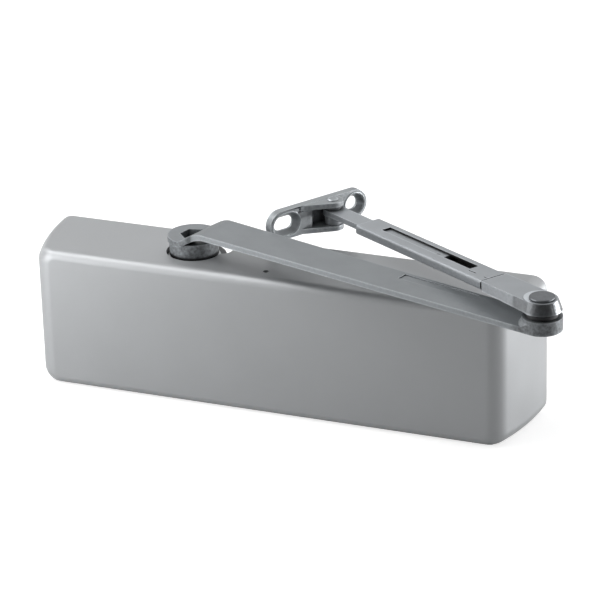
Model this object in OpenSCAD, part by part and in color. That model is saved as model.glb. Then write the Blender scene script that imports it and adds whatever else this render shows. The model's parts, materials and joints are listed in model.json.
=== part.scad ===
// Surface-mounted door closer: rack-and-pinion body under a slip-on cover, with a
// forged main arm, a telescoping forearm and a frame shoe.
// Origin: centre of the four mounting screws, on the door's face. +X runs along the
// closer towards its spring end, +Y goes into the door, +Z is up.

/* [Cover] */
// Length of the cover at its back rim
cover_w = 312; // [308:1:330]
// Height of the cover
cover_h = 87; // [86:0.5:96]
// Depth of the cover from the door to its front face
cover_d = 56; // [55:0.5:66]
// Wall of the cover
cover_wall = 2; // [1.4:0.1:2.2]
// How far each bowed end draws in towards the front
cover_draw = 11; // [6:0.5:12]
// Radius of the edges that run from front to back
cover_side_r = 8.5; // [6:0.5:11]
// Radius of the top and bottom edges of the front
cover_front_r = 5.5; // [4:0.5:8]
// Radius of the upright edges of the front
cover_corner_r = 8; // [5:0.5:10]
// Clear gap between the arm hub and the notch in the cover
notch_gap = 1; // [0.8:0.1:1.5]
// Reach of the notch past the spindle, on its spring side
notch_reach = 21.7; // [20:0.1:24]
// Distance from the spindle to the cover screws, along the closer
cover_screw_x = 52.7; // [45:0.1:70]
// Diameter of a cover screw
cover_screw_d = 3; // [2.5:0.1:4]

/* [Body] */
// Diameter of the cylinder bore
bore_d = 40; // [39:0.1:40.5]
// Wall of the cylinder
barrel_wall = 5; // [4:0.1:5]
// Length of the cast body
body_l = 247; // [222:1:270]
// Distance from the middle of the closer to the spindle
spindle_x = -55; // [-60:0.5:-50]
// Distance from the door to the spindle and cylinder axes
spindle_y = 27; // [26.5:0.1:28]
// Diameter of the spindle boss on the casting
boss_d = 38.6; // [37:0.1:40]
// Gap between the spindle boss and the outside of the cover
boss_drop = 3; // [2.4:0.1:4]
// Mounting screw spacing along the closer
mount_x = 230; // [200:1:232]
// Mounting screw spacing across the closer
mount_z = 63.5; // [60:0.5:66]
// Diameter of a mounting screw hole
mount_hole_d = 6.6; // [5.5:0.1:7]
// Width of a mounting foot
foot_w = 18; // [16:0.5:22]
// Thickness of a mounting foot
foot_t = 9; // [7:0.5:11]

/* [Pinion and piston] */
// Gear module of the pinion and rack
gear_m = 1.75; // [1.7:0.01:1.8]
// Face width of the pinion
gear_face = 22; // [18:0.5:23]
// Diameter of the spindle's journals
shaft_d = 16; // [15:0.1:17]
// Width across the flats of the spindle's hexagon
hex_af = 13.7; // [12.5:0.1:13.9]
// Turn of the spindle from rest to its full opening, in degrees
spindle_turn = 165; // [120:1:165]
// Length of a solid piston head, beyond the rack slot
piston_head = 14; // [12:0.5:16]

/* [Spring] */
// Diameter of the spring wire
wire_d = 6; // [5:0.1:6.5]
// Mean diameter of the spring
spring_d = 31; // [29:0.1:32]
// Number of turns of the spring
spring_turns = 7.75; // [6.75:0.5:8.25]
// Length of the spring with the closer at rest
spring_l = 91; // [84:0.5:102]
// Travel of the spring seat from rest to full power
seat_travel = 12; // [6:0.5:14]
// Diameter of the power adjusting screw
adjuster_d = 10; // [9:0.1:12]

/* [Main arm] */
// Length of the main arm, spindle to elbow
arm_l = 250; // [230:1:280]
// Diameter of the arm hub
hub_d = 31.2; // [30:0.1:33]
// Diameter of the boss under the hub
hub_boss_d = 29.4; // [27:0.1:29.8]
// Height of the hub's top above the cover
hub_rise = 10.6; // [9:0.1:12]
// Gap between the hub and the spindle's gland nut
hub_gap = 1.5; // [1:0.1:1.8]
// Height of the arm's level stretch above the cover
arm_rise = 17.2; // [16:0.1:20]
// Thickness of the arm
arm_t = 3.4; // [3:0.1:4.5]
// Length of the bend that lifts the arm off its hub
bend_l = 16.5; // [12:0.5:20]
// Extra height at the top of the bend, lost again by the elbow
arm_crown = 0.5; // [0:0.1:1.5]
// Half width of the arm's front side where it leaves the hub
arm_front = 13; // [12.5:0.1:14.5]
// Diameter of the elbow eye
eye_d = 23; // [22:0.1:25]
// Height of the elbow eye above the arm
eye_h = 4.6; // [4:0.1:6]
// Direction of the main arm at rest, in degrees from +X
arm_rest = -16.8; // [-25:0.1:0]

/* [Forearm] */
// Length of the forearm at rest, elbow to shoe pin
fore_l = 202.6; // [202:0.5:212]
// Direction of the forearm at rest, in degrees from +X
fore_rest = 145.5; // [144:0.1:146]
// Slope of the forearm, down from the elbow to the shoe, in degrees
fore_slope = 3; // [2.8:0.1:3.2]
// Diameter of the boss at the elbow
knuckle_d = 22.4; // [22:0.1:24]
// Height of the boss at the elbow
knuckle_h = 6.5; // [6.3:0.1:7.5]
// Height of the packing between the two arms
elbow_pack = 3.6; // [3:0.1:5]
// Length of the elbow casting, from its pin to the tube
knuckle_l = 43.6; // [40:0.1:46]
// Width of the forearm tube
tube_w = 17.8; // [17:0.1:19]
// Height of the forearm tube
tube_h = 6; // [5.6:0.1:6.4]
// Wall of the forearm tube
tube_wall = 1.3; // [1.1:0.1:1.4]
// Far end of the forearm tube, from the elbow
tube_end = 166; // [162:0.5:168]
// Width of the slot in the tube's top
slot_w = 6.2; // [5:0.1:7]
// Width of the rod where it leaves the tube
rod_w = 11.4; // [10:0.1:12]
// Travel of the rod into the tube, from rest
rod_in = 5; // [2:0.5:6]
// Travel of the rod out of the tube, from rest
rod_out = 40; // [30:0.5:40]
// Diameter of the rivet through the elbow
rivet_d = 8; // [7:0.1:9]
// Diameter of the rivet's cap
cap_d = 14.4; // [13:0.1:17]

/* [Shoe] */
// Height of the shoe's plate and diameter of its lugs
lug_d = 18.4; // [18:0.1:20]
// Thickness of the shoe's plate
shoe_t = 5; // [4.6:0.1:6]
// Distance from the shoe pin to the round hole
shoe_hole_y = 18.6; // [18:0.1:20]
// Distance from the shoe pin to the middle of the slotted hole
shoe_slot_y = 31.8; // [31:0.1:36]
// Diameter of the shoe's screw hole, and width of its slot
shoe_hole_d = 8.4; // [6.5:0.1:8.6]
// End-to-end length of the shoe's slotted hole
shoe_slot_l = 13.6; // [11:0.1:14]
// Thickness of each ear of the shoe
ear_t = 3.2; // [2.8:0.1:3.6]
// Clear height between the shoe's ears
ear_gap = 11.6; // [11:0.1:12]
// Radius of the ears round the pin
ear_r = 6.2; // [5.8:0.1:6.6]
// Length over which the ears grow out of the plate
ear_run = 21.3; // [18:0.1:22]
// Diameter of the shoe pin
shoe_pin_d = 5; // [4:0.1:6]
// Distance from the shoe pin to the face of the plate
shoe_setback = 3.5; // [3.5:0.1:5]
// Radius of the rod's eye
eye_r = 6; // [5:0.1:6.1]
// How far the shoe hangs below the middle of the forearm
shoe_drop = 1.75; // [1:0.05:2]
// Turn of the shoe at rest, away from square to the forearm, in degrees
shoe_rest = 2.5; // [-6:0.5:6]

/* [Hidden] */
$fn = 64;

paint = [0.68, 0.70, 0.71];
arm_paint = [0.56, 0.59, 0.60];
steel = [0.72, 0.72, 0.73];
dark_steel = [0.30, 0.31, 0.32];
iron = [0.46, 0.47, 0.48];
rubber = [0.10, 0.10, 0.10];
bronze = [0.70, 0.55, 0.32];

fit = 0.06;            // radial gap of a running or screwed fit
face_gap = 0.2;        // gap between faces that turn past each other
past = 1;              // how far a cutter runs past the face it opens

top = cover_h / 2;
axis_y = -spindle_y;
bore_r = bore_d / 2;
barrel_r = bore_r + barrel_wall;
boss_top = top - boss_drop;

// Spindle and its bearings, from the middle of the closer upwards
gear_z = 12;
pitch_r = gear_m * gear_z / 2;
tip_r = pitch_r + gear_m;
root_r = pitch_r - 1.25 * gear_m;
pressure = 25;
backlash = 0.24;
shaft_r = shaft_d / 2;
collar_r = 12;
bearing_r = 15;
washer_t = 1.4;
bearing_z = bore_r + face_gap;
collar_z = bearing_z - washer_t - 0.2;
seal_z = bearing_z + 8.8;
gland_z = seal_z + 4;
gland_r = bearing_r + 1;
hub_bottom = boss_top + hub_gap;
hub_top = top + hub_rise;
socket_af = hex_af + 0.4;
hex_top = hub_top - 5;
stub_end = top - 0.9;
cap_t = 2.6;

// Piston, spring and adjuster, along the cylinder
travel = pitch_r * spindle_turn * PI / 180;
slot_side = collar_r + 1.2;
slot_run = tip_r + 1.75;
plug_depth = 7;
plug_nose = 5.5;
stop_gap = 2.2;
collar_t = washer_t + 2;
seat_t = 8;
seat_gap = 10.7;
// The left plug stands off the piston, and the right one carries the spring pack
piston_x0 = spindle_x - travel - slot_run - piston_head;
body_x0 = piston_x0 - stop_gap - plug_nose - plug_depth;
body_x1 = body_x0 + body_l;
washer_x1 = body_x1 - plug_depth - plug_nose - 0.05;
collar_x0 = washer_x1 - washer_t - 0.05 - collar_t;
seat_x1 = collar_x0 - seat_gap;
seat_x0 = seat_x1 - seat_t;
piston_x1 = seat_x0 - spring_l;
piston_r = bore_r - fit;
adjuster_r = adjuster_d / 2;

// Valves beside the spindle boss
valve_r = 4;
valve_l = 22;
valve_z = 30;
valve_y = 6;
valve_block_l = 44;
seat_r = 2.6;
ring_r = 0.55;
ring_x = 7;
backcheck_x = spindle_x + boss_d / 2 + 13.7;
backcheck_z = 27;
backcheck_front = 17;

// Arm, from the cover upwards
strip_top = top + arm_rise;
strip_bottom = strip_top - arm_t;
eye_top = strip_top + eye_h;
knuckle_bottom = eye_top + elbow_pack;
knuckle_top = knuckle_bottom + knuckle_h;
fore_mid = knuckle_bottom + knuckle_h / 2;
joint_gap = 0.8;
tube_start = knuckle_l + joint_gap;
slot_far = tube_end - 17;
slot_near = tube_start + 19;
slot_y = -1.1;
rod_t = tube_h - 2 * tube_wall - 2 * fit;
rod_start = slot_near + rod_in + 22.7;
rod_head_l = 22;
lock_x = rod_start + 5.5;
lock_r = 1.5;
shoe_mid = fore_mid - fore_l * sin(fore_slope) - shoe_drop;
pocket_y = 13;
pocket_y0 = 10;
pocket_gap = 0.5;
csk_depth = 3.6;

module at_spindle() translate([spindle_x, axis_y, 0]) children();
module on_arm() at_spindle() rotate(arm_rest) children();
module on_forearm() on_arm() translate([arm_l, 0, 0]) rotate(fore_rest - arm_rest) children();
// The forearm slopes down about the middle of its elbow boss
module on_slope()
    on_forearm() translate([0, 0, fore_mid]) rotate([0, fore_slope, 0]) translate([0, 0, -fore_mid])
        children();
module at_shoe()
    on_forearm() translate([fore_l * cos(fore_slope), 0, 0]) rotate(shoe_rest) children();

// A round bar along the closer from x0 to x1, and a ring made of two such bars
module bar_x(x0, x1, r, y = axis_y, z = 0)
    translate([x0, y, z]) rotate([0, 90, 0]) cylinder(h = x1 - x0, r = r);
module ring_z(z0, z1, r_out, r_in)
    difference() {
        translate([0, 0, z0]) cylinder(h = z1 - z0, r = r_out);
        translate([0, 0, z0 - past]) cylinder(h = z1 - z0 + 2 * past, r = r_in);
    }
module ring_x(x0, x1, r_out, r_in)
    difference() {
        bar_x(x0, x1, r_out);
        bar_x(x0 - past, x1 + past, r_in);
    }
module oring_x(x, major, minor, y = axis_y, z = 0)
    translate([x, y, z]) rotate([0, 90, 0]) rotate_extrude() translate([major, 0]) circle(r = minor);
module hex(af, h) cylinder(h = h, r = af / 2 / cos(30), $fn = 6);
// The far end of the cylinder is the near end turned about its middle
module at_far_end() translate([body_x0 + body_x1, 0, 0]) mirror([1, 0, 0]) children();
module both_ends() {
    children();
    at_far_end() children();
}
module mirrored_z() {
    children();
    mirror([0, 0, 1]) children();
}
// Rounded bar section w by h, centred, as a true outline
module round_rect(w, h, r) {
    square([w - 2 * r, h], center = true);
    square([w, h - 2 * r], center = true);
    for (x = [-1, 1], y = [-1, 1]) translate([x * (w / 2 - r), y * (h / 2 - r)]) circle(r = r);
}

// ---- Cover: a loft of rounded outlines from the back rim to the front ----
arc_steps = 6;
depth_steps = 6;
function tuck(q, r) = q >= r ? 0 : r - sqrt(max(0, r * r - (r - q) * (r - q)));
function skin_ring(y, e) =
    let (q = cover_d - e + y,
        in_w = tuck(q, cover_corner_r - e),
        in_h = tuck(q, cover_front_r - e),
        w = cover_w / 2 - e - cover_draw * pow(y / cover_d, 2) - in_w,
        h = cover_h / 2 - e - in_h,
        r = max(0.6, cover_side_r - e - min(in_w, in_h)))
    [for (k = [0:3], i = [0:arc_steps])
        let (a = 90 * (k + i / arc_steps),
            sx = (k == 0 || k == 3) ? 1 : -1,
            sz = (k < 2) ? 1 : -1)
        [sx * (w - r) + r * cos(a), y, sz * (h - r) + r * sin(a)]];
function skin_depths(e, rim) =
    let (flat = cover_d - cover_corner_r)
    concat([rim], [for (i = [(rim > 0 ? 0 : 1):depth_steps]) -flat * i / depth_steps],
        [for (i = [1:arc_steps]) -(flat + (cover_corner_r - e) * sin(90 * i / arc_steps))]);
module cover_skin(e, rim) {
    ys = skin_depths(e, rim);
    n = 4 * (arc_steps + 1);
    last = len(ys) - 1;
    points = [for (y = ys) each skin_ring(y, e)];
    sides = [for (j = [0:last - 1], i = [0:n - 1])
        let (a = j * n + i, b = j * n + (i + 1) % n)
        each [[a, a + n, b], [b, a + n, b + n]]];
    ends = [[for (i = [0:n - 1]) i], [for (i = [0:n - 1]) last * n + n - 1 - i]];
    polyhedron(points = points, faces = concat(sides, ends), convexity = 4);
}
// Outline of the notch: round about the hub, then straight to the back rim
module notch() {
    r = hub_d / 2 + notch_gap;
    corner = 6;
    circle(r = r);
    translate([-r, 0]) square([r + notch_reach - corner, spindle_y + past]);
    translate([0, corner]) square([notch_reach, spindle_y + past - corner]);
    translate([notch_reach - corner, corner]) circle(r = corner);
}
module cover() color(paint)
    difference() {
        cover_skin(0, 0);
        cover_skin(cover_wall, past);
        mirrored_z() translate([0, 0, top - 2 * cover_wall]) {
            at_spindle() linear_extrude(3 * cover_wall) notch();
            translate([spindle_x + cover_screw_x, cover_screw_y, 0])
                cylinder(h = 3 * cover_wall, d = cover_screw_d + 0.4);
        }
    }

cover_screw_y = axis_y - 16.3;
cover_screw_l = 9;
module cover_screws() color(dark_steel)
    mirrored_z() translate([spindle_x + cover_screw_x, cover_screw_y, top - 0.5 - cover_screw_l])
        difference() {
            cylinder(h = cover_screw_l, d = cover_screw_d);
            translate([0, 0, cover_screw_l - 2]) hex(cover_screw_d / 2, 2 + past);
        }

// ---- Cast body ----
module foot() {
    for (s = [-1, 1]) translate([0, 0, s * mount_z / 2]) rotate([90, 0, 0])
        cylinder(h = foot_t, d = foot_w);
    translate([-foot_w / 2, -foot_t, -mount_z / 2]) cube([foot_w, foot_t, mount_z]);
}
module valve_block() {
    w = 2 * (valve_y + valve_r) + 8;
    translate([body_x0, axis_y - w / 2, 0]) cube([valve_block_l, w, valve_z + valve_r + 3.5]);
}
module valve_bore() {
    bar_x(-past, valve_l - 8, valve_r + fit, 0);
    bar_x(-past, valve_l + 12, seat_r, 0);
}
module on_valve(side) translate([body_x0, axis_y + side * valve_y, valve_z]) children();
module on_backcheck()
    translate([backcheck_x, axis_y - backcheck_front, backcheck_z]) rotate([0, 0, 90]) children();

module closer_body() color(iron)
    difference() {
        union() {
            bar_x(body_x0, body_x1, barrel_r);
            at_spindle() translate([0, 0, -boss_top]) cylinder(h = 2 * boss_top, d = boss_d);
            for (s = [-1, 1]) translate([s * mount_x / 2, 0, 0]) foot();
            // Ribs along the back, and the gallery that feeds the valves
            for (s = [-1, 1]) translate([-mount_x / 2, -spindle_y, s * 14 - 2])
                cube([mount_x, spindle_y - 1, 4]);
            valve_block();
            bar_x(body_x0, backcheck_x + 8, 5, axis_y, barrel_r);
            translate([backcheck_x - 8, axis_y - backcheck_front, 0])
                cube([16, 2 * backcheck_front, backcheck_z + 7]);
            mirrored_z() translate([spindle_x + cover_screw_x, cover_screw_y, 0])
                cylinder(h = top - cover_wall - 0.2, d = 9);
        }
        bar_x(body_x0 - past, body_x1 + past, bore_r);
        both_ends() bar_x(body_x0 - past, body_x0 + plug_depth, bore_r + 1);
        at_spindle() {
            translate([0, 0, -boss_top - past]) cylinder(h = 2 * boss_top + 2 * past, r = bearing_r);
            mirrored_z() translate([0, 0, gland_z])
                cylinder(h = boss_top - gland_z + past, r = gland_r);
        }
        for (x = [-1, 1], z = [-1, 1]) translate([x * mount_x / 2, past, z * mount_z / 2])
            rotate([90, 0, 0]) cylinder(h = foot_t + 2 * past, d = mount_hole_d);
        for (s = [-1, 1]) on_valve(s) valve_bore();
        on_backcheck() valve_bore();
        mirrored_z() translate([spindle_x + cover_screw_x, cover_screw_y, top - 14])
            cylinder(h = 14, d = cover_screw_d + 2 * fit);
    }

module bearing() color(bronze)
    ring_z(bearing_z, seal_z - 0.2, bearing_r - fit, shaft_r + fit);
module thrust_washer() color(steel)
    ring_z(collar_z + 0.1, bearing_z - 0.1, collar_r, shaft_r + fit);
module seal() color(rubber)
    ring_z(seal_z, gland_z - 0.2, bearing_r - fit, shaft_r + fit);
module gland_nut() color(steel)
    difference() {
        ring_z(gland_z, boss_top, gland_r - fit, shaft_r + fit);
        for (a = [0, 180]) rotate(a + 45) translate([(gland_r + shaft_r) / 2, 0, boss_top - 3])
            cylinder(h = 3 + past, d = 3);
    }
module upper_bearing() at_spindle() bearing();
module lower_bearing() at_spindle() mirror([0, 0, 1]) bearing();
module upper_thrust_washer() at_spindle() thrust_washer();
module lower_thrust_washer() at_spindle() mirror([0, 0, 1]) thrust_washer();
module upper_seal() at_spindle() seal();
module lower_seal() at_spindle() mirror([0, 0, 1]) seal();
module upper_gland_nut() at_spindle() gland_nut();
module lower_gland_nut() at_spindle() mirror([0, 0, 1]) gland_nut();

// End plugs screw into the barrel and seal on a ring in a groove
groove_r = 1.3;
module end_plug_blank()
    difference() {
        union() {
            bar_x(body_x0 - 1, body_x0 + plug_depth - 0.1, bore_r + 1 - fit);
            bar_x(body_x0, body_x0 + plug_depth + plug_nose, bore_r - fit);
        }
        ring_x(body_x0 + plug_depth + 1.2, body_x0 + plug_depth + 4, bore_r, bore_r - 2 * groove_r - 0.1);
    }
module left_end_plug() color(steel)
    difference() {
        end_plug_blank();
        translate([body_x0 - 1 - past, axis_y, 0]) rotate([0, 90, 0]) hex(17, 7 + past);
    }
module right_end_plug() color(steel)
    difference() {
        at_far_end() end_plug_blank();
        bar_x(body_x1 - plug_depth - plug_nose - past, body_x1 + 1 + past, adjuster_r + fit);
    }
module end_plug_orings() color(rubber)
    both_ends() oring_x(body_x0 + plug_depth + 2.6, bore_r - groove_r - 0.05, groove_r);

// ---- Valves: screw, neck, ring groove and needle, with a key socket in the head ----
module valve_screw() color(steel)
    difference() {
        union() {
            bar_x(0.5, valve_l - 9, valve_r, 0);
            bar_x(valve_l - 9, valve_l, seat_r - 0.3, 0);
            translate([valve_l, 0, 0]) rotate([0, 90, 0])
                cylinder(h = 6, r1 = seat_r - 0.3, r2 = 0.6);
        }
        difference() {
            bar_x(ring_x - 0.8, ring_x + 0.8, valve_r + past, 0);
            bar_x(ring_x - past, ring_x + past, valve_r - 2 * ring_r - 0.1, 0);
        }
        translate([0.5 - past, 0, 0]) rotate([0, 90, 0]) hex(3, 3 + past);
    }
module sweep_valve() on_valve(-1) valve_screw();
module latch_valve() on_valve(1) valve_screw();
module backcheck_valve() on_backcheck() valve_screw();
module valve_ring() color(rubber) oring_x(ring_x, valve_r - ring_r - 0.03, ring_r, 0);
module valve_orings() {
    for (s = [-1, 1]) on_valve(s) valve_ring();
    on_backcheck() valve_ring();
}

// ---- Pinion: involute teeth cut on the spindle ----
base_r = pitch_r * cos(pressure);
function involute_angle(r) = r <= base_r ? 0 :
    let (t = sqrt(pow(r / base_r, 2) - 1)) t * 180 / PI - atan(t);
half_tooth = 90 / gear_z - backlash / pitch_r * 90 / PI / 2 + involute_angle(pitch_r);
flank_steps = 6;
function polar(r, a) = [r * cos(a), r * sin(a)];
module pinion_outline() {
    circle(r = root_r);
    for (k = [0:gear_z - 1]) rotate(360 / gear_z * k - 90)
        polygon(concat(
            [polar(root_r - 0.4, -half_tooth)],
            [for (i = [0:flank_steps])
                let (r = base_r + (tip_r - base_r) * i / flank_steps)
                polar(r, involute_angle(r) - half_tooth)],
            [for (i = [0:flank_steps])
                let (r = tip_r - (tip_r - base_r) * i / flank_steps)
                polar(r, half_tooth - involute_angle(r))],
            [polar(root_r - 0.4, half_tooth)]));
}
module spindle() color(steel)
    at_spindle() {
        translate([0, 0, -gear_face / 2]) linear_extrude(gear_face) pinion_outline();
        mirrored_z() translate([0, 0, gear_face / 2])
            cylinder(h = collar_z - gear_face / 2, r = collar_r);
        translate([0, 0, -boss_top]) cylinder(h = 2 * boss_top, r = shaft_r);
        rotate(arm_rest + 30) {
            hex(hex_af, hex_top);
            translate([0, 0, -stub_end]) hex(hex_af, stub_end);
        }
    }
module spindle_cap() color(dark_steel)
    at_spindle() mirror([0, 0, 1]) difference() {
        union() {
            translate([0, 0, boss_top + 0.3]) cylinder(h = cap_t - 0.6, d = hub_d - 1.2);
            translate([0, 0, boss_top + cap_t - 0.3]) cylinder(h = 0.4, d1 = hub_d - 1.2, d2 = hub_d - 2);
        }
        rotate(arm_rest + 30) hex(hex_af + 2 * fit, stub_end + 0.05);
    }

// ---- Piston: a cylinder with a slot across it, and rack teeth on the slot's front wall ----
pitch = PI * gear_m;
rack_count = ceil(travel / pitch) + 4;
module rack_outline() {
    tan_p = tan(pressure);
    half = pitch / 4 - backlash / 4;
    add = gear_m;
    ded = slot_side - pitch_r + 0.4;
    for (k = [0:rack_count - 1]) translate([pitch * (1.5 - k), -pitch_r])
        polygon([[-half - ded * tan_p, -ded], [half + ded * tan_p, -ded],
            [half - add * tan_p, add], [add * tan_p - half, add]]);
}
check_y = axis_y + 8;
check_r = 4;
ball_d = 6;
module piston() color(steel) {
    difference() {
        bar_x(piston_x0, piston_x1, piston_r);
        translate([spindle_x - travel - slot_run, axis_y - slot_side, -bore_r])
            cube([travel + 2 * slot_run, 2 * slot_side, bore_d]);
        bar_x(piston_x0 - past, piston_x0 + piston_head + past, check_r, check_y);
        bar_x(piston_x1 - 2, piston_x1 + past, spring_d / 2 - wire_d / 2 - 1);
    }
    at_spindle() intersection() {
        translate([0, 0, -gear_face / 2 + 0.2]) linear_extrude(gear_face - 0.4) rack_outline();
        rotate([0, 90, 0]) cylinder(h = 4 * travel, r = piston_r, center = true);
    }
}
module check_valve_seat() color(bronze)
    difference() {
        bar_x(piston_x0 + 0.5, piston_x0 + 4.5, check_r - fit, check_y);
        bar_x(piston_x0, piston_x0 + 5, 1.6, check_y);
    }
module check_ball() color(steel)
    translate([piston_x0 + 4.5 + ball_d / 2 - 0.25, check_y, 0]) sphere(d = ball_d);

// ---- Spring, seat and power adjuster ----
coil_sides = 8;
coil_steps = 18;
module main_spring() color(dark_steel) {
    r = wire_d / 2 * 0.98;
    rings = floor(spring_turns * coil_steps);
    run = spring_l - wire_d - 0.4;
    lead = atan(run / spring_turns / (PI * spring_d));
    points = [for (j = [0:rings], i = [0:coil_sides - 1])
        let (a = 360 * j / coil_steps, b = 360 * i / coil_sides,
            rad = spring_d / 2 + r * cos(b),
            off = r * sin(b))
        [piston_x1 + wire_d / 2 + 0.2 + run * j / rings + off * cos(lead),
            axis_y + rad * cos(a) + off * sin(lead) * sin(a),
            rad * sin(a) - off * sin(lead) * cos(a)]];
    sides = [for (j = [0:rings - 1], i = [0:coil_sides - 1])
        let (a = j * coil_sides + i, b = j * coil_sides + (i + 1) % coil_sides)
        each [[a, a + coil_sides, b], [b, a + coil_sides, b + coil_sides]]];
    ends = [[for (i = [0:coil_sides - 1]) i],
        [for (i = [0:coil_sides - 1]) (rings + 1) * coil_sides - 1 - i]];
    polyhedron(points = points, faces = concat(sides, ends), convexity = 10);
}
module spring_seat() color(steel)
    difference() {
        union() {
            bar_x(seat_x0, seat_x1, bore_r - fit);
            bar_x(seat_x0 - 6, seat_x1, spring_d / 2 - wire_d / 2 - 1);
        }
        bar_x(seat_x0 - 6 - past, seat_x1 + past, adjuster_r + fit);
    }
module adjusting_screw() color(steel)
    difference() {
        union() {
            bar_x(seat_x0 - seat_travel - 8, body_x1 + 0.5, adjuster_r);
            bar_x(collar_x0, collar_x0 + collar_t, adjuster_r + 4);
        }
        translate([body_x1 + 0.5 - 6, axis_y, 0]) rotate([0, 90, 0]) hex(adjuster_d * 0.5, 6 + past);
    }
module adjuster_thrust_washer() color(steel)
    ring_x(washer_x1 - washer_t, washer_x1, adjuster_r + 4, adjuster_r + fit);

// ---- Main arm: a strip with an S-bend up from its hub, and a raised eye at the elbow ----
bend_steps = 12;
// Rise of the bend over t from 0 to 1: a tight curve at the hub, then a long crest
function bend_rise(t) = pow(sin(90 * t), 1.15);
function bend_line(z0, z1, s0) =
    [for (i = [0:bend_steps])
        let (t = i / bend_steps) [s0 + bend_l * t, z0 + (z1 - z0) * bend_rise(t)]];
function backwards(list) = [for (i = [len(list) - 1:-1:0]) list[i]];
module arm_plan() {
    hub_r = hub_d / 2;
    tip = eye_d / 2;
    lean = asin((hub_r - tip) / arm_l);
    circle(r = hub_r);
    translate([arm_l, 0]) circle(r = tip);
    polygon([[hub_r * sin(lean), hub_r * cos(lean)], [arm_l + tip * sin(lean), tip * cos(lean)],
        [arm_l, -tip], [0, -arm_front]]);
}
module arm_side() {
    crest = strip_top + arm_crown;
    lag = 1.3;
    polygon(concat([[-hub_d, hub_top]], bend_line(hub_top, crest, 0),
        [[arm_l - eye_d, strip_top], [arm_l + eye_d, strip_top],
            [arm_l + eye_d, strip_bottom], [arm_l - eye_d, strip_bottom]],
        backwards(bend_line(hub_top - arm_t, crest - arm_t, lag)),
        [[-hub_d, hub_top - arm_t]]));
}
panel_l = 51;
panel_w = 6.6;
panel_x = 149;
panel_y = 4;
panel_drop = 0.4;
module main_arm() color(arm_paint)
    on_arm() difference() {
        union() {
            intersection() {
                translate([0, 0, hub_bottom]) linear_extrude(strip_top) arm_plan();
                rotate([90, 0, 0]) linear_extrude(2 * hub_d, center = true) arm_side();
            }
            translate([0, 0, hub_bottom])
                cylinder(h = hub_top - hub_bottom - arm_t / 2, d = hub_boss_d);
            translate([arm_l, 0, strip_bottom]) cylinder(h = eye_top - strip_bottom, d = eye_d);
            intersection() {
                translate([arm_l, 0, strip_top - 0.5]) cylinder(h = 3, d1 = eye_d + 4, d2 = eye_d);
                linear_extrude(eye_top) arm_plan();
            }
        }
        translate([0, 0, hub_bottom - past]) rotate(30) hex(socket_af, strip_top);
        translate([arm_l, 0, strip_bottom - past])
            cylinder(h = eye_top - strip_bottom + 2 * past, d = rivet_d + 2 * fit);
        translate([panel_x, panel_y, strip_top - panel_drop])
            cube([panel_l, panel_w, 2 * panel_drop + arm_crown]);
    }

// ---- Elbow ----
module elbow_rivet() color(dark_steel)
    on_arm() translate([arm_l, 0, 0]) {
        translate([0, 0, strip_bottom]) cylinder(h = knuckle_top - strip_bottom + 1, d = rivet_d);
        translate([0, 0, strip_bottom - 0.8]) cylinder(h = 0.8, d1 = rivet_d, d2 = rivet_d + 2.4);
        translate([0, 0, knuckle_top + face_gap]) cylinder(h = 1, d = cap_d);
        translate([0, 0, knuckle_top + face_gap + 1]) cylinder(h = 0.6, d1 = cap_d, d2 = cap_d - 3);
    }
spacer_h = elbow_pack * 0.66;
module elbow_spacer() color(rubber)
    on_arm() translate([arm_l, 0, 0]) ring_z(eye_top, eye_top + spacer_h, eye_d / 2 - 2.4, rivet_d / 2 + fit);
module elbow_washer() color(steel)
    on_arm() translate([arm_l, 0, 0])
        ring_z(eye_top + spacer_h, knuckle_bottom - face_gap, eye_d / 2 - 3.2, rivet_d / 2 + fit);
bush_r = rivet_d / 2 + 2;
module elbow_bush() color(bronze)
    on_forearm() ring_z(knuckle_bottom, knuckle_top, bush_r - fit, rivet_d / 2 + fit);
module knuckle_plan() {
    r = knuckle_d / 2;
    w = tube_w / 2;
    lean = atan((r - w) / knuckle_l);
    polygon([[r * sin(lean), r * cos(lean)], [knuckle_l, w],
        [knuckle_l, -w], [r * sin(lean), -r * cos(lean)]]);
}
module elbow_casting() color(arm_paint)
    difference() {
        union() {
            on_forearm() translate([0, 0, knuckle_bottom]) cylinder(h = knuckle_h, d = knuckle_d);
            on_slope() translate([0, 0, fore_mid - tube_h / 2]) linear_extrude(tube_h) knuckle_plan();
            on_slope() translate([knuckle_l - past, 0, fore_mid]) rotate([90, 0, 90])
                linear_extrude(14) round_rect(tube_w - 2 * tube_wall - 2 * fit, rod_t, 0.6);
        }
        on_forearm() translate([0, 0, knuckle_bottom - past])
            cylinder(h = knuckle_h + 2 * past, r = bush_r);
    }

// ---- Forearm: a slotted tube, and the rod that slides in it ----
tube_r = 1.8;
cavity_end = tube_end - 3;
module forearm_tube() color(arm_paint)
    on_slope() difference() {
        translate([tube_start, 0, fore_mid]) rotate([90, 0, 90])
            linear_extrude(tube_end - tube_start) round_rect(tube_w, tube_h, tube_r);
        translate([tube_start - past, 0, fore_mid]) rotate([90, 0, 90])
            linear_extrude(cavity_end - tube_start + past)
                square([tube_w - 2 * tube_wall, tube_h - 2 * tube_wall], center = true);
        translate([cavity_end - past, 0, fore_mid]) rotate([90, 0, 90])
            linear_extrude(tube_end - cavity_end + 2 * past)
                square([rod_w + 4 * fit, tube_h - 2 * tube_wall], center = true);
        translate([slot_near, slot_y - slot_w / 2, fore_mid])
            cube([slot_far - slot_near, slot_w, tube_h]);
        translate([lock_x - rod_in - 4, -lock_r - 0.2, fore_mid - tube_h])
            cube([rod_in + rod_out + 8, 2 * lock_r + 0.4, tube_h]);
    }
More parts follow.
